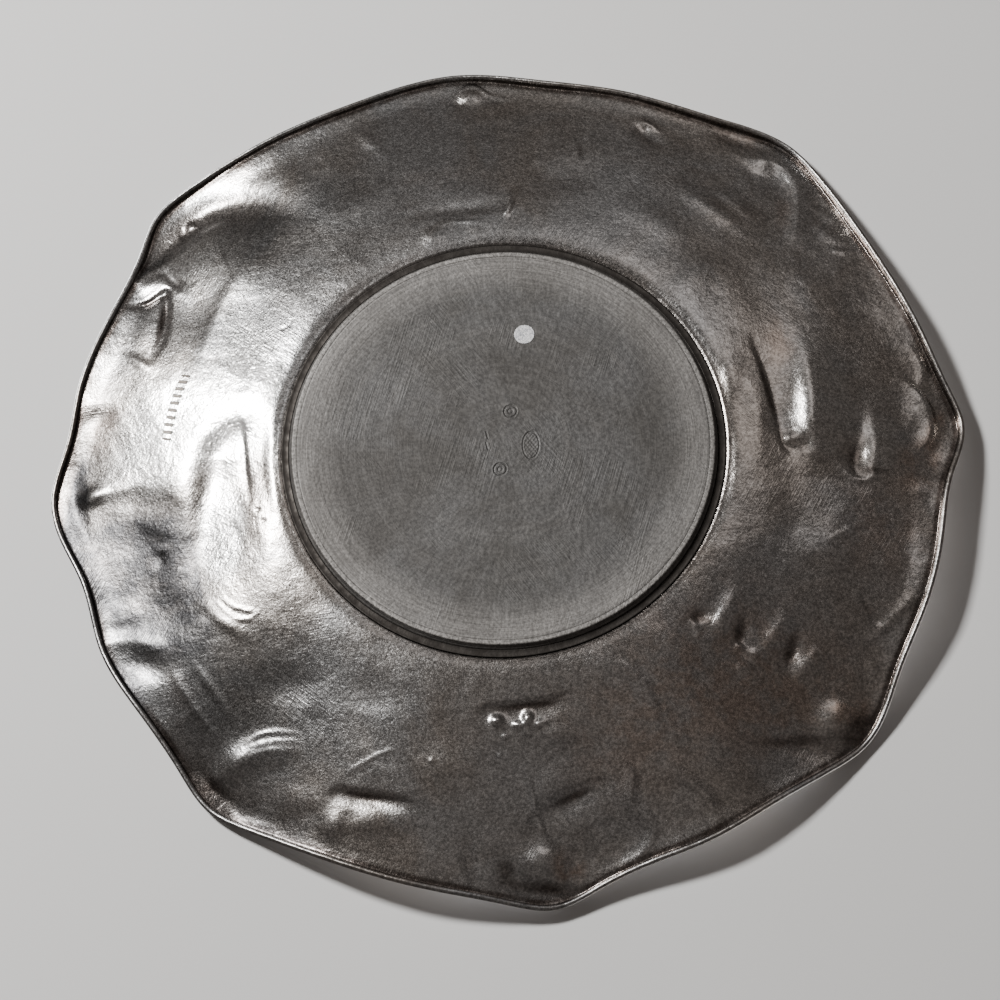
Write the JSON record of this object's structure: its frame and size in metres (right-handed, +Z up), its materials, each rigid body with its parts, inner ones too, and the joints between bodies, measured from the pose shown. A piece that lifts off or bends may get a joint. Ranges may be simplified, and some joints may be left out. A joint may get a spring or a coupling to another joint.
{
  "type": "relief dish",
  "caption": "Broad shallow pewter plate with a flat round base in a turned foot ring, a wavy lobed rim worked in relief and a rolled beaded edge, for holding bread, wafers or offerings.",
  "frame": {"origin": "centre of the round base, on the plane that the dish rests on", "axes": "+Z up out of the dish's mouth; +X towards the pointed lobe that is alone on its side of the rim"},
  "size_m": [0.366, 0.3591, 0.0348],
  "materials": {
    "rim_pewter": "aged pewter, hand worked and burnished, darker in the hollows",
    "base_pewter": "aged pewter, turned, dull satin, burnished where it rests",
    "solder": "soft solder, darkened",
    "label_paper": "matt white paper"
  },
  "bodies": {
    "root": {"rim": "rim_pewter", "edge_bead": "rim_pewter", "base_disc": "base_pewter", "foot_ring": "base_pewter", "solder_seam": "solder", "inventory_label": "label_paper"}
  },
  "joints": []
}
